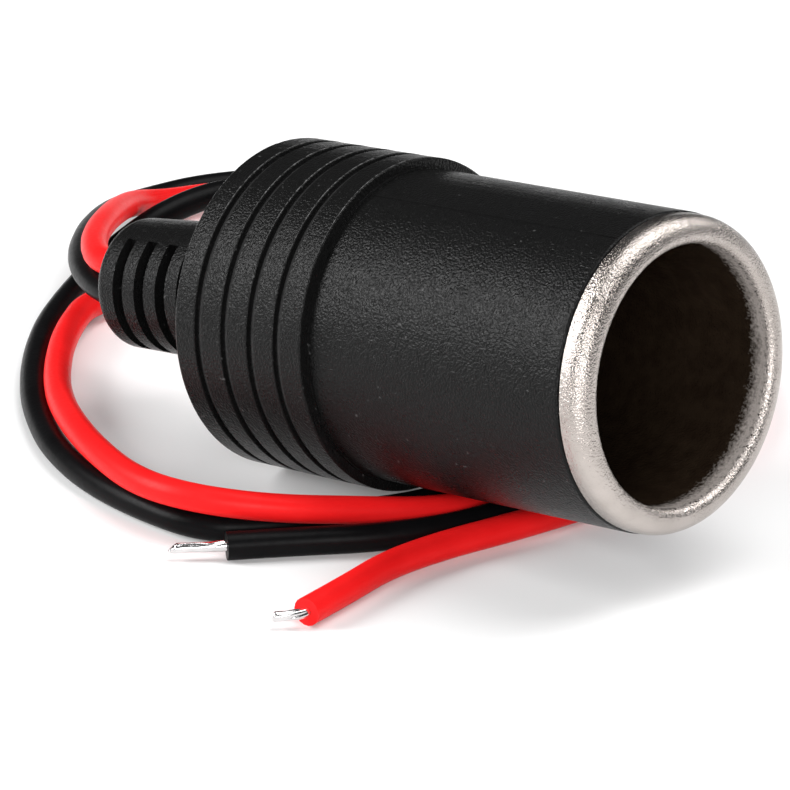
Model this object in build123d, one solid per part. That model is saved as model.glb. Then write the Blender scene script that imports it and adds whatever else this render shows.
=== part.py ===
from build123d import *
from math import cos, radians, sqrt, tan
import os

# A 12 V car power socket: a drawn steel cup in a moulded housing, with a red and a black lead.
# Millimetres. The socket is drawn along its own axis, +X towards the mouth, zero at the barrel's front edge.
# It is then tipped to lie as it rests, on its collar and its own leads, with the floor at z = 0.

# Steel shell
bore_diameter = 21.4
shell_wall = 0.5
shell_corner = 3.0
rim_diameter = 26.0
rim_reach = 2.4
rim_inner_round = 0.7
rim_outer_round = 1.6
rim_gap = 0.15

# Housing: barrel, collar and terminal chamber
barrel_diameter = 26.2
barrel_length = 27.0
barrel_front_round = 0.25
collar_front_diameter = 28.0
collar_rear_diameter = 27.8
collar_length = 14.5
collar_front_round = 0.15
collar_rear_round = 0.4
collar_foot_height = 0.12
collar_foot_length = 0.3
shell_clearance = 0.05
chamber_ledge = 0.2
chamber_length = 6.8
rear_wall = 2.2

# Grooves round the collar, each with a steep rear wall and a long ramp on the mouth's side
groove_count = 4
groove_pitch = 3.0
groove_first = 2.4
groove_depth = 0.36
groove_floor = 0.16
groove_ramp = 0.65
groove_edge_round = 0.1

# Strain-relief boot
boot_length = 18.1
boot_end_diameter = 11.2
boot_root_diameter = 12.4
boot_end_round = 1.2
boot_flare = 1.0
boot_droop = 3.0
boot_seat = 0.8
slot_count = 4
slot_pitch = 2.65
slot_width = 1.2
slot_first = 2.5
slot_height = 9.8
web_width = 5.2

# Contact stack on the floor of the cup
floor_hole_diameter = 6.4
bush_diameter = 12.0
bush_flange = 0.8
washer_diameter = 10.0
washer_thickness = 1.0
fit_clearance = 0.05
rivet_diameter = 3.0
rivet_head_diameter = 7.0
rivet_head_height = 1.4
rivet_tail_diameter = 4.6
rivet_tail_height = 0.8

# Solder tags
tag_thickness = 0.5
tag_width = 3.0
tag_tab_length = 3.0
positive_ring_diameter = 8.0
positive_tab_height = 4.3
negative_tab_height = 5.4
negative_foot_gap = 0.25

# Leads
lead_diameter = 2.4
lead_spacing = 2.8
lead_entry = 0.5
lead_straight = 4.8
conductor_diameter = 1.0
tip_straight = 0.8
root_straight = 1.2
root_rise = 1.4
root_end_gap = 0.3
bend_share = 0.45

# Route of each lead over the floor, from its first bend behind the boot to the end of its insulation
red_route = [
    (-41.8, 5.0, 10.6), (-47.7, 12.7, 9.1), (-56.9, 24.8, 5.0), (-58.4, 30.8, 3.0), (-59.6, 39.4, 1.2),
    (-55.4, 44.8, 1.2), (-49.0, 46.6, 1.2), (-42.6, 44.8, 1.2), (-38.4, 39.8, 1.2), (-37.3, 33.2, 1.2),
    (-39.5, 27.0, 1.2), (-43.3, 21.0, 1.2), (-46.5, 14.8, 1.5), (-47.2, 9.6, 1.9), (-43.8, 4.0, 2.2),
    (-40.2, -0.8, 2.3), (-35.2, -6.2, 2.5), (-30.4, -10.4, 2.9), (-25.1, -14.0, 3.3), (-19.2, -17.2, 3.6),
    (-12.2, -19.8, 3.7), (-5.7, -19.8, 3.6), (-0.3, -16.2, 2.9), (3.5, -10.4, 2.0), (7.3, -4.4, 1.3),
    (8.7, 2.0, 1.2), (7.5, 8.6, 1.2), (3.1, 13.8, 1.2), (-1.9, 18.4, 1.2), (-6.1, 23.6, 1.2),
    (-10.5, 29.0, 1.2), (-10.2, 36.2, 1.2), (-4.8, 41.0, 1.2), (2.4, 40.7, 1.2), (7.5, 35.8, 1.2),
    (12.1, 30.8, 1.2), (15.2, 24.7, 1.2), (16.2, 18.2, 1.2), (15.7, 11.7, 1.2), (14.8, 5.2, 1.2),
    (13.5, -1.6, 1.2), (11.8, -8.2, 1.2), (11.1, -14.4, 1.2), (12.0, -20.0, 1.2), (12.6, -25.5, 1.2),
]
black_route = [
    (-43.4, 4.8, 7.9), (-51.8, 14.1, 6.2), (-60.3, 25.8, 3.1), (-63.4, 34.0, 1.2), (-62.2, 39.8, 1.2),
    (-58.2, 46.0, 1.2), (-52.4, 50.6, 1.2), (-45.4, 51.4, 2.2), (-39.8, 46.6, 3.9), (-40.2, 40.4, 4.0),
    (-45.5, 37.0, 3.9), (-52.1, 34.6, 4.6), (-53.9, 26.3, 4.3), (-54.6, 20.2, 2.1), (-53.1, 15.2, 1.2),
    (-50.2, 9.6, 1.2), (-47.0, 4.2, 1.2), (-43.0, -1.0, 1.2), (-38.2, -6.2, 1.2), (-33.2, -10.6, 1.2),
    (-26.9, -14.9, 1.2), (-20.0, -17.8, 1.2), (-13.0, -18.7, 1.2), (-5.9, -18.0, 1.2), (-1.7, -13.4, 1.2),
    (1.5, -8.3, 1.2), (4.9, -3.6, 1.2), (5.6, 2.6, 1.2), (3.7, 8.8, 1.2), (-0.9, 13.6, 1.6),
    (-5.9, 18.0, 3.2), (-7.3, 24.9, 4.1), (-3.7, 31.1, 3.4), (3.3, 32.6, 1.8), (9.2, 28.9, 1.2),
    (11.9, 22.4, 1.2), (12.7, 15.6, 1.2), (12.4, 8.8, 1.2), (11.5, 1.8, 1.2), (10.0, -5.0, 1.2),
    (6.6, -11.0, 1.2), (2.3, -15.9, 1.2), (-1.2, -20.3, 1.2),
]

# Where the bared and tinned end of each lead stops
red_tip_end = (11.1, -27.9, 1.1)
black_tip_end = (-4.6, -23.7, 1.1)

# Pose on the floor
rest_tilt = 6.3

# Radii and stations along the axis that follow from the sizes above
bore_radius = bore_diameter / 2
shell_radius = bore_radius + shell_wall
rim_radius = rim_diameter / 2
crest_radius = bore_radius + rim_inner_round
pocket_radius = shell_radius + shell_clearance
collar_front_x = -barrel_length
collar_rear_x = -barrel_length - collar_length
corner_radius = shell_radius - shell_corner
chamber_radius = corner_radius - chamber_ledge
chamber_rear_x = collar_rear_x + rear_wall
floor_back_x = chamber_rear_x + chamber_length
floor_inside_x = floor_back_x + shell_wall
corner_x = floor_back_x + shell_corner
washer_back_x = floor_back_x - washer_thickness
tag_back_x = washer_back_x - tag_thickness
lead_inner_x = rear_wall + lead_entry

# Unit directions in the plane of a profile, along the axis and away from it
forward, back, outward, inward = (1, 0), (-1, 0), (0, 1), (0, -1)


def revolved(curve):
    """Solid of revolution about the socket's axis of a closed outline drawn as axial and radial distances."""
    return revolve(make_face(curve), Axis.X)


def ring(x_low, x_high, inner_radius, outer_radius):
    """Plain ring about the axis between two stations."""
    corners = [(x_low, inner_radius), (x_high, inner_radius), (x_high, outer_radius), (x_low, outer_radius)]
    return revolved(Polyline(*corners, close=True))


def quarter_arc(center_x, center_r, radius, start, end):
    """Quarter arc of a profile given by its centre, radius and two unit directions."""
    def at(direction):
        return (center_x + radius * direction[0], center_r + radius * direction[1])
    diagonal = cos(radians(45))
    middle = (diagonal * (start[0] + end[0]), diagonal * (start[1] + end[1]))
    return ThreePointArc(at(start), at(middle), at(end))


def circle_edges(solid, x, radius, tolerance=0.01):
    """Edges of a solid that are circles about the axis at one station and radius."""
    return [
        edge
        for edge in solid.edges().filter_by(GeomType.CIRCLE)
        if abs(edge.arc_center.X - x) < tolerance and abs(edge.radius - radius) < tolerance
    ]


def collar_radius(x):
    """Drafted outside radius of the collar at a station."""
    share = (x - collar_rear_x) / collar_length
    return (collar_rear_diameter + share * (collar_front_diameter - collar_rear_diameter)) / 2


def make_shell():
    """Cup of sheet steel: flat floor with a hole, straight bore, and a rim rolled over the barrel's nose."""
    inner_x = rim_reach - rim_inner_round
    outer_x = rim_reach - rim_outer_round
    skirt_inside = rim_radius - shell_wall
    inside_round = shell_corner - shell_wall
    hole = floor_hole_diameter / 2
    outline = [
        Line((floor_inside_x, hole), (floor_inside_x, corner_radius)),
        quarter_arc(corner_x, corner_radius, inside_round, back, outward),
        Line((corner_x, bore_radius), (inner_x, bore_radius)),
        quarter_arc(inner_x, crest_radius, rim_inner_round, inward, forward),
        quarter_arc(outer_x, crest_radius, rim_outer_round, forward, outward),
        Line((outer_x, rim_radius), (rim_gap, rim_radius)),
        Line((rim_gap, rim_radius), (rim_gap, skirt_inside)),
        Line((rim_gap, skirt_inside), (outer_x, skirt_inside)),
        quarter_arc(outer_x, crest_radius, rim_outer_round - shell_wall, outward, forward),
        quarter_arc(inner_x, crest_radius, rim_inner_round - shell_wall, forward, inward),
        Line((inner_x, shell_radius), (corner_x, shell_radius)),
        quarter_arc(corner_x, corner_radius, shell_corner, outward, back),
        Line((floor_back_x, corner_radius), (floor_back_x, hole)),
        Line((floor_back_x, hole), (floor_inside_x, hole)),
    ]
    return revolved(outline)


def groove_wall_x(index):
    """Station of the steep wall of one groove."""
    return collar_rear_x + groove_first + index * groove_pitch


def make_groove(index):
    """Cutter for one groove of the collar."""
    x_wall = groove_wall_x(index)
    x_floor = x_wall + groove_floor
    x_top = x_floor + groove_ramp
    floor_radius = collar_radius(x_wall) - groove_depth
    over = collar_radius(x_top) + groove_depth
    x_over = x_top + groove_ramp
    corners = [(x_wall, floor_radius), (x_floor, floor_radius), (x_over, over), (x_wall, over)]
    return revolved(Polyline(*corners, close=True))


def boot_frame():
    """Frame of the boot: on the collar's rear face, drooping under the pull of the leads."""
    return Pos(collar_rear_x, 0, 0) * Rot(0, -boot_droop, 0)


def make_boot():
    """Tapered round boot in its own frame, with slots from both sides down to a web that holds the leads."""
    root, end = boot_root_diameter / 2, boot_end_diameter / 2
    corners = [
        (boot_seat, 0),
        (boot_seat, root + boot_flare),
        (0, root + boot_flare),
        (-boot_flare, root),
        (-boot_length, end),
        (-boot_length, 0),
    ]
    boot = revolved(Polyline(*corners, close=True))
    boot = fillet(circle_edges(boot, -boot_length, end), boot_end_round)
    slot_depth = boot_root_diameter
    for index in range(slot_count):
        x = -boot_length + slot_first + slot_width / 2 + index * slot_pitch
        for side in (-1, 1):
            y = side * (web_width + slot_depth) / 2
            boot -= Pos(x, y, 0) * Box(slot_width, slot_depth, slot_height)
    return boot


def lead_core(side):
    """Straight stretch of one lead, from the boot's end face into the chamber, in the boot's frame."""
    length = boot_length + lead_inner_x
    middle = (lead_inner_x - boot_length) / 2
    return Pos(middle, 0, side * lead_spacing / 2) * Rot(0, 90, 0) * Cylinder(lead_diameter / 2, length)


def make_housing():
    """One moulding: barrel with a nose under the rolled rim, grooved collar, terminal chamber and boot."""
    nose_radius = rim_radius - shell_wall - shell_clearance
    nose_x = rim_reach - rim_outer_round
    barrel, front, rear = barrel_diameter / 2, collar_front_diameter / 2, collar_rear_diameter / 2
    foot_x = collar_front_x + collar_foot_length
    foot = barrel + collar_foot_height
    corners = [
        (corner_x, pocket_radius),
        (nose_x, pocket_radius),
        (nose_x, nose_radius),
        (0, nose_radius),
        (0, barrel),
        (foot_x, barrel),
        (foot_x, foot),
        (collar_front_x, foot),
        (collar_front_x, front),
        (collar_rear_x, rear),
        (collar_rear_x, 0),
        (chamber_rear_x, 0),
        (chamber_rear_x, chamber_radius),
        (floor_back_x, chamber_radius),
        (floor_back_x, corner_radius),
        (floor_back_x - shell_clearance, corner_radius),
    ]
    pocket_corner = quarter_arc(corner_x, corner_radius, shell_corner + shell_clearance, back, outward)
    housing = revolved([Polyline(*corners), pocket_corner])
    housing = fillet(circle_edges(housing, 0, barrel), barrel_front_round)
    housing = fillet(circle_edges(housing, collar_front_x, front), collar_front_round)
    housing = fillet(circle_edges(housing, collar_rear_x, rear), collar_rear_round)
    for index in range(groove_count):
        housing -= make_groove(index)
        edge_x = groove_wall_x(index)
        housing = fillet(circle_edges(housing, edge_x, collar_radius(edge_x)), groove_edge_round)
    housing += boot_frame() * make_boot()
    for side in (-1, 1):
        housing -= boot_frame() * lead_core(side)
    return housing


def make_bush():
    """Top-hat bush that keeps the rivet off the cup's floor."""
    shank = rivet_diameter / 2 + fit_clearance
    sleeve = floor_hole_diameter / 2 - fit_clearance
    flange = ring(floor_inside_x, floor_inside_x + bush_flange, shank, bush_diameter / 2)
    return flange + ring(floor_back_x, floor_inside_x, shank, sleeve)


def make_washer():
    """Insulating washer between the cup's floor and the positive tag."""
    return ring(washer_back_x, floor_back_x, rivet_diameter / 2 + fit_clearance, washer_diameter / 2)


def make_contact():
    """Rivet with a domed head in the bore and a peened tail over the positive tag."""
    head_x = floor_inside_x + bush_flange
    shank, head, tail = rivet_diameter / 2, rivet_head_diameter / 2, rivet_tail_diameter / 2
    tail_x = tag_back_x - rivet_tail_height
    dome_radius = (head ** 2 + rivet_head_height ** 2) / (2 * rivet_head_height)
    outline = [
        Line((tail_x, 0), (tail_x, tail)),
        Line((tail_x, tail), (tag_back_x, tail)),
        Line((tag_back_x, tail), (tag_back_x, shank)),
        Line((tag_back_x, shank), (head_x, shank)),
        Line((head_x, shank), (head_x, head)),
        RadiusArc((head_x, head), (head_x + rivet_head_height, 0), dome_radius),
        Line((head_x + rivet_head_height, 0), (tail_x, 0)),
    ]
    return revolved(outline)


def make_positive_tag():
    """Ring under the rivet's tail with a strap up to a tab that is bent back for the red lead."""
    plate = ring(tag_back_x, washer_back_x, rivet_diameter / 2 + fit_clearance, positive_ring_diameter / 2)
    top = positive_tab_height + tag_thickness
    strap_low = rivet_tail_diameter / 2
    strap_place = Pos(tag_back_x + tag_thickness / 2, 0, (strap_low + top) / 2)
    strap = strap_place * Box(tag_thickness, tag_width, top - strap_low)
    tab_place = Pos(tag_back_x - tag_tab_length / 2, 0, top - tag_thickness / 2)
    return plate + strap + tab_place * Box(tag_tab_length, tag_width, tag_thickness)


def make_negative_tag():
    """Foot welded to the back of the cup's floor with a tab that is bent back for the black lead."""
    foot_end = sqrt((chamber_radius - negative_foot_gap) ** 2 - (tag_width / 2) ** 2)
    foot_place = Pos(floor_back_x - tag_thickness / 2, 0, -(negative_tab_height + foot_end) / 2)
    foot = foot_place * Box(tag_thickness, tag_width, foot_end - negative_tab_height)
    length = floor_back_x - tag_back_x + tag_tab_length
    tab_place = Pos(floor_back_x - length / 2, 0, -negative_tab_height - tag_thickness / 2)
    return foot + tab_place * Box(length, tag_width, tag_thickness)


def socket_place(pieces):
    """Tips the socket to its rest, with the middle of its footprint at the origin and the floor at zero."""
    tip = Rot(0, -rest_tilt, 0)
    boxes = [(tip * piece).bounding_box() for piece in pieces]
    x_low = min(box.min.X for box in boxes)
    x_high = max(box.max.X for box in boxes)
    z_low = min(box.min.Z for box in boxes)
    return Pos(-(x_low + x_high) / 2, 0, -z_low) * tip


def corner_radii(points):
    """Radius of the arc at each inner point, so that neighbouring arcs share a run without meeting."""
    radii = []
    for before, here, after in zip(points, points[1:], points[2:]):
        run_in, run_out = here - before, after - here
        half_turn = radians(run_in.get_angle(run_out) / 2)
        radii.append(bend_share * min(run_in.length, run_out.length) / tan(half_turn))
    return radii


def round_wire(points, diameter):
    """Round wire through straight runs joined by tangent arcs."""
    path = FilletPolyline(*points, radius=corner_radii(points))
    section = Plane(path @ 0, z_dir=path % 0) * Circle(diameter / 2)
    return sweep(section, path=path)


def boot_point(x, side):
    """Point on the axis of one lead where it runs straight through the boot, as the part rests."""
    return (place * boot_frame() * Pos(x, 0, side * lead_spacing / 2)).position


def make_lead(route, side):
    """Insulated lead: the straight stretch in the boot and the free route from the boot's end."""
    free = [boot_point(-boot_length, side), boot_point(-boot_length - lead_straight, side)]
    free += [Vector(point) for point in route]
    return place * boot_frame() * lead_core(side) + round_wire(free, lead_diameter)


def make_tip(route, tip_end):
    """Bared end of a lead: straight out of its insulation, then slightly bent."""
    before, start = Vector(route[-2]), Vector(route[-1])
    bend = start + (start - before).normalized() * tip_straight
    return round_wire([start, bend, Vector(tip_end)], conductor_diameter)


def make_root(side, tab_z):
    """Bared inner end of a lead, bent up to lie along the face of its tag's tab."""
    start = (boot_frame() * Pos(lead_inner_x, 0, side * lead_spacing / 2)).position
    bend = (boot_frame() * Pos(lead_inner_x + root_straight, 0, side * lead_spacing / 2)).position
    level = tab_z - side * conductor_diameter / 2
    seat = Vector(bend.X + root_rise, 0, level)
    end = Vector(tag_back_x - root_end_gap, 0, level)
    return place * round_wire([start, bend, seat, end], conductor_diameter)


socket = {
    "housing": make_housing(),
    "socket_shell": make_shell(),
    "insulating_bush": make_bush(),
    "insulating_washer": make_washer(),
    "centre_contact": make_contact(),
    "positive_terminal": make_positive_tag(),
    "negative_terminal": make_negative_tag(),
}
place = socket_place([socket["housing"], socket["socket_shell"]])

nodes = {name: place * solid for name, solid in socket.items()}
nodes["red_lead"] = make_lead(red_route, 1)
nodes["black_lead"] = make_lead(black_route, -1)
nodes["red_lead_tip"] = make_tip(red_route, red_tip_end)
nodes["black_lead_tip"] = make_tip(black_route, black_tip_end)
nodes["red_lead_root"] = make_root(1, positive_tab_height)
nodes["black_lead_root"] = make_root(-1, -negative_tab_height)

os.makedirs("parts", exist_ok=True)
for name, solid in nodes.items():
    export_step(solid, f"parts/{name}.step")
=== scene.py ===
import math

import bmesh
import bpy
from mathutils import Matrix, Vector, noise


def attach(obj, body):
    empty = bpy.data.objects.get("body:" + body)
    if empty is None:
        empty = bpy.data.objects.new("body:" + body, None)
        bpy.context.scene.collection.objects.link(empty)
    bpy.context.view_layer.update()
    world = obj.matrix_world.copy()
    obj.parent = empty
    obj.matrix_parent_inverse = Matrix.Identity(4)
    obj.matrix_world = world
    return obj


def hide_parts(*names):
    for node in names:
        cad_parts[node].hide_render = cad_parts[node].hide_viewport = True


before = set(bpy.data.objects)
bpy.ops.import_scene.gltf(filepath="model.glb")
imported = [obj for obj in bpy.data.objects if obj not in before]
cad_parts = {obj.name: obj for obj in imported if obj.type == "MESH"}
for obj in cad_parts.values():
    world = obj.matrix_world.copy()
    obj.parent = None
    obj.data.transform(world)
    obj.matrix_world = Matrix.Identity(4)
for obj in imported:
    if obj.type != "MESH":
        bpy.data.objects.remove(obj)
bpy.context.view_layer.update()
scene = bpy.context.scene
scene.view_settings.view_transform = "Standard"


# Sizes of the socket in millimetres, as in the part's source

MM = 0.001
UP = (0.0, 0.0, 1.0)
TILT = math.radians(6.3)
SOCKET_AXIS = (math.cos(TILT), 0.0, math.sin(TILT))
FRONT = Vector((28.0994, 0.0, 18.3313)) * MM
BARREL_RADIUS = 13.1
BARREL_LENGTH = 27.0
COLLAR_LENGTH = 14.5
COLLAR_REAR = -BARREL_LENGTH - COLLAR_LENGTH
COLLAR_REAR_RADIUS = 13.9
COLLAR_FRONT_RADIUS = 14.0
GROOVE_FIRST = 2.4
GROOVE_PITCH = 3.0
GROOVE_COUNT = 4
LEAD_RADIUS = 1.2
TIP_STRAIGHT = 0.8


def socket_point(x, angle, radius):
    """Point in metres, from millimetres along the axis from the front, degrees round it and radius."""
    turn = math.radians(angle)
    y = -radius * math.cos(turn)
    z = radius * math.sin(turn)
    tipped = Vector((x * math.cos(TILT) - z * math.sin(TILT), y, x * math.sin(TILT) + z * math.cos(TILT)))
    return FRONT + tipped * MM


# Materials

# Where a noise's values mostly lie
NOISE_LOW = 0.3
NOISE_HIGH = 0.7


def rgba(value):
    """Colour of a ramp's stop or an input, where one number stands for a grey."""
    red, green, blue = value if isinstance(value, tuple) else (value, value, value)
    return (red, green, blue, 1.0)


class Surface:
    """A material and the procedural nodes that feed its shader."""

    def __init__(self, name):
        self.material = bpy.data.materials.new(name)
        self.material.use_nodes = True
        self.nodes = self.material.node_tree.nodes
        self.links = self.material.node_tree.links
        self.shader = self.nodes["Principled BSDF"]

    def feed(self, target, value):
        """Give an input a constant or the output of another node."""
        if isinstance(value, bpy.types.NodeSocket):
            self.links.new(value, target)
        else:
            target.default_value = value

    def add(self, kind, inputs, **settings):
        """Add a node, with its settings and what goes into its inputs, and give its outputs."""
        made = self.nodes.new("ShaderNode" + kind)
        for key, value in settings.items():
            setattr(made, key, value)
        for key, value in inputs.items():
            self.feed(made.inputs[key], value)
        return made.outputs

    def place(self):
        """Place on the object in metres."""
        return self.add("TexCoord", {})["Object"]

    def noise(self, where, scale, detail=2.0, roughness=0.5):
        inputs = {"Vector": where, "Scale": scale, "Detail": detail, "Roughness": roughness}
        return self.add("TexNoise", inputs)["Fac"]

    def ramp(self, source, *stops):
        """Colours at the places of the stops, and between them."""
        made = self.nodes.new("ShaderNodeValToRGB")
        elements = made.color_ramp.elements
        while len(elements) < len(stops):
            elements.new(0.5)
        for element, (place, value) in zip(elements, stops):
            element.position = place
            element.color = rgba(value)
        self.links.new(source, made.inputs["Fac"])
        return made.outputs["Color"]

    def vary(self, source, first, second):
        """From one colour to another over the middle of a noise's range."""
        return self.ramp(source, (NOISE_LOW, first), (NOISE_HIGH, second))

    def bump(self, height, strength, distance, below=None):
        """Normal of a height in millimetres, on top of another normal if one is given."""
        inputs = {"Height": height, "Strength": strength, "Distance": distance * MM}
        if below is not None:
            inputs["Normal"] = below
        return self.add("Bump", inputs)["Normal"]

    def mix(self, share, first, second):
        return self.add("Mix", {"Factor": share, "A": first, "B": second}, data_type="RGBA")["Result"]

    def map_range(self, value, low, high, top=1.0, clamp=True):
        inputs = {"Value": value, "From Min": low, "From Max": high, "To Max": top}
        return self.add("MapRange", inputs, clamp=clamp)["Result"]

    def number(self, operation, *values):
        return self.add("Math", dict(enumerate(values)), operation=operation)["Value"]

    def vector(self, operation, *values):
        """Outputs of a vector operation: Vector, or Value where it measures."""
        return self.add("VectorMath", dict(enumerate(values)), operation=operation)

    def dress(self, inputs):
        """Feed the shader and give the material."""
        for key, value in inputs.items():
            self.feed(self.shader.inputs[key], value)
        return self.material


def along_socket(surface, where):
    """Metres along the socket's axis from the barrel's front, and the offset from that point."""
    offset = surface.vector("SUBTRACT", where, FRONT)["Vector"]
    return surface.vector("DOT_PRODUCT", offset, SOCKET_AXIS)["Value"], offset


# Where the painted light on a groove's ramp comes in and goes out, in shares of the pitch from its wall
RAMP_LIGHT_STOPS = ((0.085, 0.0), (0.13, 1.0), (0.25, 1.0), (0.29, 0.0))


def groove_ramps(surface, where):
    """One on the long ramps of the collar's grooves, where painted light goes, nought elsewhere."""
    first_wall = (COLLAR_REAR + GROOVE_FIRST) * MM
    along, _ = along_socket(surface, where)
    count = surface.map_range(along, first_wall, first_wall + GROOVE_PITCH * MM, clamp=False)
    band = surface.ramp(surface.number("FRACT", count), *RAMP_LIGHT_STOPS)
    after_first = surface.number("GREATER_THAN", count, 0.0)
    before_end = surface.number("LESS_THAN", count, GROOVE_COUNT - 0.5)
    return surface.number("MULTIPLY", band, surface.number("MULTIPLY", after_first, before_end))


def housing_finish():
    """Black moulded PVC: matte and pebbled, with a few pale specks of dust, and painted light that makes the
    groove ramps paler where they lie in shade.
    """
    surface = Surface("housing_pvc")
    where = surface.place()
    pebble = surface.noise(where, scale=4600.0, detail=1.0, roughness=0.6)
    waves = surface.noise(where, scale=700.0, detail=3.0)
    specks = surface.noise(where, scale=2500.0, detail=0.0)
    black = surface.ramp(specks, (0.0, 0.0045), (0.82, 0.0065), (0.88, 0.06))
    # Paler colour on the groove ramps is painted light, lifting the shade that falls there.
    painted_ramp_light = surface.vary(pebble, 0.016, 0.036)
    wavy = surface.bump(waves, strength=0.12, distance=0.10)
    return surface.dress({
        "Base Color": surface.mix(groove_ramps(surface, where), black, painted_ramp_light),
        "Roughness": surface.ramp(waves, (0.25, 0.25), (0.75, 0.33)),
        "Normal": surface.bump(pebble, strength=1.0, distance=0.10, below=wavy),
        "Specular IOR Level": 0.12,
    })


def lead_finish(name, dark, light, smooth, rough, shine):
    """Extruded PVC insulation: satin, with a fine grain and a soft variation of colour."""
    surface = Surface(name)
    where = surface.place()
    soft = surface.noise(where, scale=260.0, detail=3.0)
    fine = surface.noise(where, scale=2600.0, detail=3.0)
    return surface.dress({
        "Base Color": surface.vary(soft, dark, light),
        "Roughness": surface.vary(fine, smooth, rough),
        "Normal": surface.bump(fine, strength=0.15, distance=0.06),
        "Specular IOR Level": shine,
    })


def metal_surface(name, dark, light, smooth, rough, grain):
    """Plated or drawn metal: satin, with a fine sandy grain."""
    surface = Surface(name)
    where = surface.place()
    sand = surface.noise(where, scale=5600.0, detail=2.0, roughness=0.6)
    soft = surface.noise(where, scale=420.0, detail=2.0)
    surface.dress({
        "Base Color": surface.vary(soft, dark, light),
        "Roughness": surface.vary(sand, smooth, rough),
        "Normal": surface.bump(sand, strength=grain, distance=0.10),
        "Metallic": 1.0,
    })
    return surface


# The nickel gives way to painted shade over these stations along the bore, and inside these radii
BORE_FADE_START = -1.2
BORE_FADE_END = 2.2
BORE_EDGE_IN = 11.10
BORE_EDGE_OUT = 11.45
RIM_WEIGHT = 1.6
FADE_WEIGHT = 0.7
SPECKLE_WEIGHT = 0.5
PLATE_STOPS = ((0.52, 0.0), (0.86, 1.0))
METAL_STOPS = ((0.78, 0.0), (0.97, 1.0))


def shell_finish():
    """Nickel plate over drawn steel: bright and sandy on the rolled rim; down the bore a dull, near-black
    brown that is painted shade.
    """
    surface = metal_surface("nickel_shell", dark=(0.46, 0.415, 0.385), light=(0.53, 0.48, 0.45),
                            smooth=0.13, rough=0.24, grain=0.9)
    plate = surface.shader.inputs["Base Color"].links[0].from_socket
    where = surface.place()
    along, offset = along_socket(surface, where)
    foot = surface.vector("PROJECT", offset, SOCKET_AXIS)["Vector"]
    radius = surface.vector("DISTANCE", offset, foot)["Value"]
    near_mouth = surface.map_range(along, BORE_FADE_START * MM, BORE_FADE_END * MM)
    on_rim = surface.map_range(radius, BORE_EDGE_IN * MM, BORE_EDGE_OUT * MM, top=RIM_WEIGHT)
    fade = surface.number("MAXIMUM", near_mouth, on_rim)
    specks = surface.noise(where, scale=3600.0, detail=3.0, roughness=0.6)
    speckle = surface.map_range(specks, 0.0, 1.0, top=SPECKLE_WEIGHT)
    bright = surface.number("MULTIPLY_ADD", fade, FADE_WEIGHT, speckle)
    # Near-black brown, not metal, down the bore is painted shade inside the recess.
    painted_bore_shade = surface.vary(surface.noise(where, scale=900.0), (0.013, 0.008, 0.005), (0.020, 0.013, 0.008))
    return surface.dress({
        "Base Color": surface.mix(surface.ramp(bright, *PLATE_STOPS), painted_bore_shade, plate),
        "Metallic": surface.ramp(bright, *METAL_STOPS),
        "Specular IOR Level": 0.15,
    })


def fibre_finish():
    """Pressed brown insulating fibre."""
    surface = Surface("insulator")
    flecks = surface.noise(surface.place(), scale=1800.0, detail=4.0)
    return surface.dress({
        "Base Color": surface.vary(flecks, (0.022, 0.015, 0.010), (0.05, 0.034, 0.024)),
        "Roughness": 0.65,
        "Normal": surface.bump(flecks, strength=0.2, distance=0.08),
    })


def trim_finish(name, scale, stops, height, rough, shine):
    """Black PVC of thin trim, painted darker as shade or paler as highlight, with a grain of its own."""
    surface = Surface(name)
    grain = surface.noise(surface.place(), scale, detail=2.0, roughness=0.6)
    return surface.dress({
        "Base Color": surface.ramp(grain, *stops),
        "Roughness": rough,
        "Normal": surface.bump(grain, strength=0.6, distance=height),
        "Specular IOR Level": shine,
    })


housing_pvc = housing_finish()
red_pvc = lead_finish("red_pvc", dark=(0.88, 0.011, 0.012), light=(0.95, 0.015, 0.016),
                      smooth=0.34, rough=0.44, shine=0.10)
black_pvc = lead_finish("black_pvc", dark=(0.0025, 0.0025, 0.0028), light=(0.0045, 0.0045, 0.005),
                        smooth=0.32, rough=0.42, shine=0.07)
shell_nickel = shell_finish()
brass = metal_surface("brass", dark=(0.66, 0.47, 0.22), light=(0.78, 0.58, 0.3),
                      smooth=0.26, rough=0.4, grain=0.2).material
tinned = metal_surface("tinned_copper", dark=(0.66, 0.65, 0.65), light=(0.82, 0.81, 0.81),
                       smooth=0.14, rough=0.26, grain=0.08).material
insulator = fibre_finish()
# Darker trim colour of the parting line is painted shade along its step.
seam_shade_pvc = trim_finish("seam_shade_pvc", scale=3300.0, stops=((0.3, 0.0015), (0.7, 0.004)),
                       height=0.05, rough=0.7, shine=0.05)
# Pale trim colour is a painted highlight along the collar's edges.
edge_highlight_pvc = trim_finish("edge_highlight_pvc", scale=3000.0, stops=((0.38, 0.008), (0.62, 0.16)),
                         height=0.08, rough=0.5, shine=0.2)

FINISH = {
    "housing": housing_pvc,
    "socket_shell": shell_nickel,
    "insulating_bush": insulator,
    "insulating_washer": insulator,
    "centre_contact": brass,
    "positive_terminal": brass,
    "negative_terminal": brass,
    "red_lead": red_pvc,
    "black_lead": black_pvc,
    "red_lead_tip": tinned,
    "black_lead_tip": tinned,
    "red_lead_root": tinned,
    "black_lead_root": tinned,
}
for name, material in FINISH.items():
    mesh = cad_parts[name].data
    mesh.materials.clear()
    mesh.materials.append(material)


# Meshes

def link_object(name, data):
    made = bpy.data.objects.new(name, data)
    scene.collection.objects.link(made)
    return made


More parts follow.
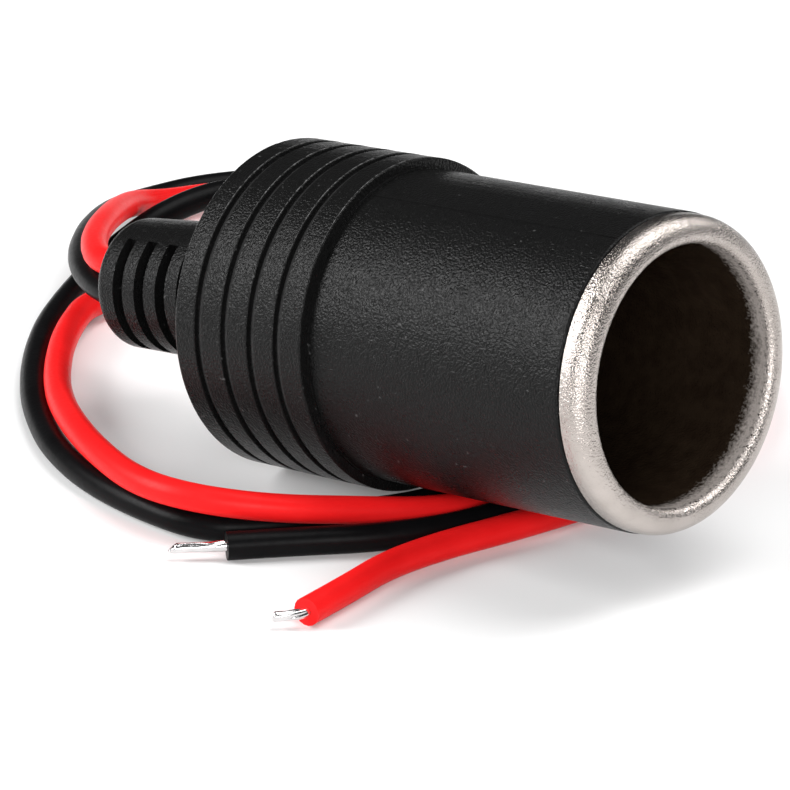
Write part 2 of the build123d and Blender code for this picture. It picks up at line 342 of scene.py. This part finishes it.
def make_skin(name, rows, material, tube=False):
    """Smooth mesh through rows of points: an open strip, or a tube with both ends filled."""
    shape = bmesh.new()
    rings = [[shape.verts.new(spot) for spot in row] for row in rows]
    for one, two in zip(rings, rings[1:]):
        sides = len(one)
        for k in range(sides if tube else sides - 1):
            after = (k + 1) % sides
            shape.faces.new((one[k], one[after], two[after], two[k]))
    if tube:
        shape.faces.new(list(reversed(rings[0])))
        shape.faces.new(rings[-1])
    bmesh.ops.recalc_face_normals(shape, faces=shape.faces)
    mesh = bpy.data.meshes.new(name)
    shape.to_mesh(mesh)
    shape.free()
    for face in mesh.polygons:
        face.use_smooth = True
    mesh.materials.append(material)
    return link_object(name, mesh)


def wander(x, y, z):
    """Smooth noise about nought."""
    return noise.noise(Vector((x, y, z)))


# Leads

# In millimetres: a point in the boot, its exit, the end of the straight stretch, then the CAD route.
# Eleven points lie up to 1.4 mm off that route, so that the leads cross as in the photograph.
RED_ROUTE = [
    (-25.613, 0.0, 13.155), (-31.238, 0.0, 12.234), (-35.976, 0.0, 11.458),
    (-41.8, 5.0, 10.6), (-47.7, 12.7, 9.1), (-56.9, 24.8, 5.0), (-58.4, 30.8, 3.0), (-59.6, 39.4, 1.2),
    (-55.4, 44.8, 1.2), (-49.0, 46.6, 1.2), (-42.6, 44.8, 1.2), (-38.4, 39.8, 1.2), (-37.3, 33.2, 1.2),
    (-39.5, 27.0, 1.2), (-43.3, 21.0, 1.2), (-46.5, 14.8, 1.5), (-47.2, 9.6, 1.9), (-43.8, 4.0, 2.2),
    (-40.2, -0.8, 2.3), (-35.2, -6.2, 2.5), (-30.4, -10.4, 2.9), (-25.1, -14.0, 3.3), (-19.2, -17.2, 3.6),
    (-12.2, -19.8, 3.7), (-5.7, -19.8, 4.0), (-0.3, -16.2, 3.5), (3.5, -10.4, 2.6), (7.3, -4.4, 1.7),
    (8.7, 2.0, 1.2), (7.5, 8.6, 1.2), (3.1, 13.8, 1.2), (-1.9, 18.4, 1.2), (-6.1, 23.6, 1.2),
    (-10.5, 29.0, 1.2), (-10.2, 36.2, 1.2), (-4.8, 41.0, 1.2), (2.4, 40.7, 1.2), (7.5, 35.8, 1.2),
    (12.1, 30.8, 1.2), (15.2, 24.7, 1.2), (16.2, 18.2, 1.2), (15.7, 11.7, 1.2), (14.8, 5.2, 1.2),
    (13.5, -1.6, 1.2), (11.8, -8.2, 1.2), (11.1, -14.4, 1.2), (12.0, -20.0, 1.2), (12.6, -25.5, 1.2),
]
BLACK_ROUTE = [
    (-25.161, 0.0, 10.392), (-30.786, 0.0, 9.471), (-35.524, 0.0, 8.695),
    (-43.4, 4.8, 7.9), (-51.8, 14.1, 6.2), (-60.3, 25.8, 3.1), (-63.4, 34.0, 1.2), (-62.2, 39.8, 1.2),
    (-58.2, 46.0, 1.2), (-52.4, 50.6, 1.2), (-45.4, 51.4, 2.2), (-39.8, 46.6, 3.9), (-40.2, 40.4, 4.0),
    (-45.5, 37.0, 3.9), (-52.1, 34.6, 5.1), (-53.0, 26.3, 5.0), (-54.6, 20.2, 2.1), (-53.1, 15.2, 1.2),
    (-50.2, 9.6, 1.2), (-47.0, 4.2, 1.2), (-43.0, -1.0, 1.2), (-38.2, -6.2, 1.2), (-33.2, -10.6, 1.2),
    (-26.9, -14.9, 1.2), (-20.0, -17.8, 1.2), (-12.6, -19.1, 1.2), (-5.0, -19.0, 1.2), (-0.8, -14.4, 1.2),
    (1.8, -8.7, 1.2), (4.8, -3.4, 1.2), (5.6, 2.6, 1.2), (3.7, 8.8, 1.2), (-0.9, 13.6, 1.6),
    (-5.9, 18.0, 3.2), (-7.3, 24.9, 4.1), (-3.7, 31.1, 3.4), (3.3, 32.6, 1.8), (9.2, 28.9, 1.2),
    (11.9, 22.4, 1.2), (12.7, 15.6, 1.2), (12.4, 8.8, 1.2), (11.5, 1.8, 1.2), (10.0, -5.0, 1.2),
    (6.6, -11.0, 1.2), (2.3, -15.9, 1.2), (-1.2, -20.3, 1.2),
]
RED_LENGTH = 0.3162
BLACK_LENGTH = 0.3090
CORD_STEPS = 10
CORD_ROUNDNESS = 7


def make_lead(name, route, material):
    """One lead as a smooth round cord along its route."""
    curve = bpy.data.curves.new(name, "CURVE")
    curve.dimensions = "3D"
    curve.resolution_u = CORD_STEPS
    curve.bevel_depth = LEAD_RADIUS * MM
    curve.bevel_resolution = CORD_ROUNDNESS
    curve.use_fill_caps = True
    spline = curve.splines.new("NURBS")
    spline.points.add(len(route) - 1)
    for point, place in zip(spline.points, route):
        point.co = (*(Vector(place) * MM), 1.0)
    spline.order_u = 3
    spline.use_endpoint_u = True
    curve.materials.append(material)
    return link_object(name, curve)


# Bared ends: where each stops, its strands and their turns, how much it thins, and the slant of its cut
RED_TIP = {"end": (11.1, -27.9, 1.1), "strands": 6, "turns": 0.12, "slim": 0.05, "slant": 0.06, "seed": 16}
BLACK_TIP = {"end": (-4.6, -23.7, 1.1), "strands": 5, "turns": 0.08, "slim": 0.08, "slant": 0.30, "seed": 18}
TIP_STEPS = 56
TIP_SIDES = 42
TIP_CORE = 0.40
STRAND_RELIEF = 0.06
SOLDER_RELIEF = 0.06
SOLDER_PACE_ROUND = 1.6
SOLDER_PACE_ALONG = 0.8
NIP_START = 0.95
NIP_DEPTH = 0.35
CUT_SHARPNESS = 6


def tip_rings(route, end, strands, turns, slim, slant, seed):
    """Rings of a bared end: strands run together by the solder into one rod, nipped off on a slant."""
    start = Vector(route[-1])
    along = (start - Vector(route[-2])).normalized()
    bend = start + along * TIP_STRAIGHT
    stop = Vector(end)
    across = along.cross(Vector(UP)).normalized()
    length = (stop - start).length
    rings = []
    for step in range(TIP_STEPS + 1):
        t = step / TIP_STEPS
        place = start * (1 - t) ** 2 + bend * 2 * t * (1 - t) + stop * t ** 2
        ahead = ((bend - start) * (1 - t) + (stop - bend) * t).normalized()
        side = (across - ahead * across.dot(ahead)).normalized()
        up = side.cross(ahead)
        nip = max(0.0, t - NIP_START) / (1 - NIP_START)
        thinning = (1 - slim * t) * (1 - NIP_DEPTH * nip ** 2)
        ring = []
        for k in range(TIP_SIDES):
            a = 2 * math.pi * k / TIP_SIDES
            lobe = abs(math.cos(0.5 * strands * (a - turns * 2 * math.pi * t)))
            solder = wander(SOLDER_PACE_ROUND * math.cos(a), SOLDER_PACE_ROUND * math.sin(a),
                            SOLDER_PACE_ALONG * length * t + seed)
            radius = (TIP_CORE + STRAND_RELIEF * lobe + SOLDER_RELIEF * solder) * thinning
            cut = -slant * (1 + math.sin(a)) * t ** CUT_SHARPNESS
            spot = place + side * (radius * math.cos(a)) + up * (radius * math.sin(a)) + ahead * cut
            ring.append(spot * MM)
        rings.append(ring)
    return rings


LEADS = (
    ("red", RED_ROUTE, RED_TIP, RED_LENGTH, red_pvc),
    ("black", BLACK_ROUTE, BLACK_TIP, BLACK_LENGTH, black_pvc),
)
for colour, route, tip_shape, length, material in LEADS:
    lead = make_lead(f"{colour}_lead_cord", route, material)
    tip = make_skin(f"{colour}_lead_strands", tip_rings(route, **tip_shape), tinned, tube=True)
    stand_ins = (
        (lead, f"{colour}_lead", f"{colour}_pvc"),
        (tip, f"{colour}_lead_tip", "tinned_copper"),
    )
    for piece, stood_for, slot in stand_ins:
        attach(piece, "root")
        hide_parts(stood_for)


def add_trim(name, rows, material):
    """Thin strip of trim on the housing."""
    piece = make_skin(name, rows, material)
    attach(piece, "root")


# Parting line of the mould, where the two halves of the tool met along the barrel; the strip is darker than
# the housing as painted shade of its step

SEAM_ANGLES = {"parting_line_upper": 71.0, "parting_line_lower": 251.0}
SEAM_REAR = -26.4
SEAM_FRONT = -0.4
SEAM_WIDTH = 0.16
SEAM_HEIGHT = 0.04
SEAM_SECTION = ((-1.0, -0.02), (-0.5, 0.7), (0.0, 1.0), (0.5, 0.7), (1.0, -0.02))
SEAM_STEPS = 90
SEAM_FADE = 12
SEAM_SWING = 0.5
SEAM_PACE = 1.3
SEAM_DRIFT = 0.15
SEAM_DRIFT_PACE = 0.5
SEAM_DRIFT_SEED = 3.0


def seam_rows(angle):
    """Rows over a low ridge along the barrel, uneven as flash is, fading out at both ends."""
    rows = []
    for step in range(SEAM_STEPS + 1):
        t = step / SEAM_STEPS
        x = SEAM_REAR + (SEAM_FRONT - SEAM_REAR) * t
        uneven = 1.0 + SEAM_SWING * wander(x * SEAM_PACE, angle, 0.0)
        half = math.degrees(0.5 * SEAM_WIDTH * uneven / BARREL_RADIUS)
        middle = angle + SEAM_DRIFT * wander(x * SEAM_DRIFT_PACE, SEAM_DRIFT_SEED, angle)
        height = SEAM_HEIGHT * min(1.0, SEAM_FADE * t, SEAM_FADE * (1 - t))
        rows.append([socket_point(x, middle + place * half, BARREL_RADIUS + height * lift)
                     for place, lift in SEAM_SECTION])
    return rows


for name, angle in SEAM_ANGLES.items():
    add_trim(name, seam_rows(angle), seam_shade_pvc)


# Painted highlights on top of the collar: pale strips where the light catches the groove walls and the front
# edge

EDGE_FIRST_ANGLE = 36.0
EDGE_LAST_ANGLE = 132.0
EDGE_WIDTH = 0.10
EDGE_SECTION = ((-1.0, -0.004), (0.0, 0.016), (1.0, -0.004))
EDGE_STEPS = 150
EDGE_FADE = 4
EDGE_MEAN = 0.75
EDGE_LEAST = 0.08
EDGE_LONG_SWING = 0.9
EDGE_LONG_PACE = 0.35
EDGE_SHORT_SWING = 0.5
EDGE_SHORT_PACE = 1.7
EDGE_SHORT_SEED = 4.0
GROOVE_EDGE_SETBACK = 0.10
FRONT_EDGE_SETBACK = 0.16


def edge_rows(x, radius):
    """Rows across a thin uneven band of painted highlight round the top of one edge, running out at both
    ends.
    """
    rows = []
    for step in range(EDGE_STEPS + 1):
        t = step / EDGE_STEPS
        angle = EDGE_FIRST_ANGLE + (EDGE_LAST_ANGLE - EDGE_FIRST_ANGLE) * t
        long_wave = EDGE_LONG_SWING * wander(angle * EDGE_LONG_PACE, x, 0.0)
        short_wave = EDGE_SHORT_SWING * wander(angle * EDGE_SHORT_PACE, x, EDGE_SHORT_SEED)
        uneven = max(EDGE_LEAST, EDGE_MEAN + long_wave + short_wave)
        half = 0.5 * EDGE_WIDTH * uneven * min(1.0, EDGE_FADE * t, EDGE_FADE * (1 - t))
        rows.append([socket_point(x + place * half, angle, radius + lift) for place, lift in EDGE_SECTION])
    return rows


flare = (COLLAR_FRONT_RADIUS - COLLAR_REAR_RADIUS) / COLLAR_LENGTH
for index in range(GROOVE_COUNT):
    wall = GROOVE_FIRST + GROOVE_PITCH * index
    edge = edge_rows(COLLAR_REAR + wall - GROOVE_EDGE_SETBACK, COLLAR_REAR_RADIUS + flare * wall)
    add_trim(f"groove_edge_{index + 1}", edge, edge_highlight_pvc)
add_trim("collar_edge", edge_rows(-BARREL_LENGTH - FRONT_EDGE_SETBACK, COLLAR_FRONT_RADIUS), edge_highlight_pvc)


# Floor, light and camera, in metres and watts

FLOOR_HALF = 4.0
FLOOR_GREY = 0.84
FLOOR_ROUGHNESS = 0.9
FLOOR_GLOW = 0.10
STUDIO_LEVEL = 0.06
LIGHT_DISTANCE = 0.8

# Each light: its direction from the object, the direction of its height, its width and height, its power
LIGHTS = (
    ("top", (0.18, 0.24, 0.95), UP, (0.56, 0.56), 4.3),
    ("key", (-0.65, -0.58, 0.48), (0.0, 0.83, 0.555), (0.26, 0.52), 6.2),
    ("front", (0.62, -0.72, 0.38), UP, (0.50, 0.30), 4.4),
    ("back", (0.30, 0.75, 0.60), UP, (0.30, 0.25), 1.8),
)


def make_floor():
    """Pale floor that keeps the shadows and reads white to the camera and in reflections."""
    mesh = bpy.data.meshes.new("floor")
    corners = [(x * FLOOR_HALF, y * FLOOR_HALF, 0.0) for x, y in ((-1, -1), (1, -1), (1, 1), (-1, 1))]
    mesh.from_pydata(corners, [], [(0, 1, 2, 3)])
    surface = Surface("floor")
    surface.dress({"Base Color": rgba(FLOOR_GREY), "Roughness": FLOOR_ROUGHNESS, "Specular IOR Level": 0.0})
    matte = surface.shader.outputs["BSDF"]
    glow = surface.add("Emission", {"Strength": FLOOR_GLOW})["Emission"]
    glowing = surface.add("AddShader", {0: matte, 1: glow})["Shader"]
    path = surface.add("LightPath", {})
    mirrored = surface.number("MAXIMUM", path["Is Glossy Ray"], path["Is Transmission Ray"])
    seen = surface.number("MAXIMUM", path["Is Camera Ray"], mirrored)
    shown = surface.add("MixShader", {0: seen, 1: matte, 2: glowing})["Shader"]
    surface.feed(surface.nodes["Material Output"].inputs["Surface"], shown)
    mesh.materials.append(surface.material)
    link_object("floor", mesh)


def make_world():
    """Even, dim white light from all sides."""
    world = bpy.data.worlds.new("studio")
    scene.world = world
    world.use_nodes = True
    background = world.node_tree.nodes["Background"]
    background.inputs["Color"].default_value = rgba(1.0)
    background.inputs["Strength"].default_value = STUDIO_LEVEL


def make_light(name, direction, along, size, power):
    """Soft box that hangs in one direction from the object and faces it, its height along the second one."""
    data = bpy.data.lights.new(name, "AREA")
    data.shape = "RECTANGLE"
    data.size, data.size_y = size
    data.energy = power
    light = link_object(name, data)
    toward = Vector(direction).normalized()
    upright = Vector(along)
    upright = (upright - toward * upright.dot(toward)).normalized()
    light.location = toward * LIGHT_DISTANCE
    light.rotation_euler = Matrix((upright.cross(toward), upright, toward)).transposed().to_euler()


make_floor()
make_world()
for light in LIGHTS:
    make_light(*light)

# Camera worked out from the photograph: its place, the direction towards it and its focal length in pixels

CAMERA_PLACE = (0.310219, -0.341786, 0.196158)
CAMERA_TOWARD = Vector((0.623887, -0.685018, 0.376185))
FOCAL_PIXELS = 5967.6
PHOTO_PIXELS = 790
SENSOR_WIDTH = 36.0
CLIP_START = 0.01
CLIP_END = 20.0

camera_data = bpy.data.cameras.new("camera")
camera_data.sensor_width = SENSOR_WIDTH
camera_data.lens = FOCAL_PIXELS / PHOTO_PIXELS * SENSOR_WIDTH
camera_data.clip_start = CLIP_START
camera_data.clip_end = CLIP_END
camera = link_object("camera", camera_data)
camera.location = CAMERA_PLACE
camera.rotation_euler = (-CAMERA_TOWARD).to_track_quat("-Z", "Y").to_euler()
scene.camera = camera
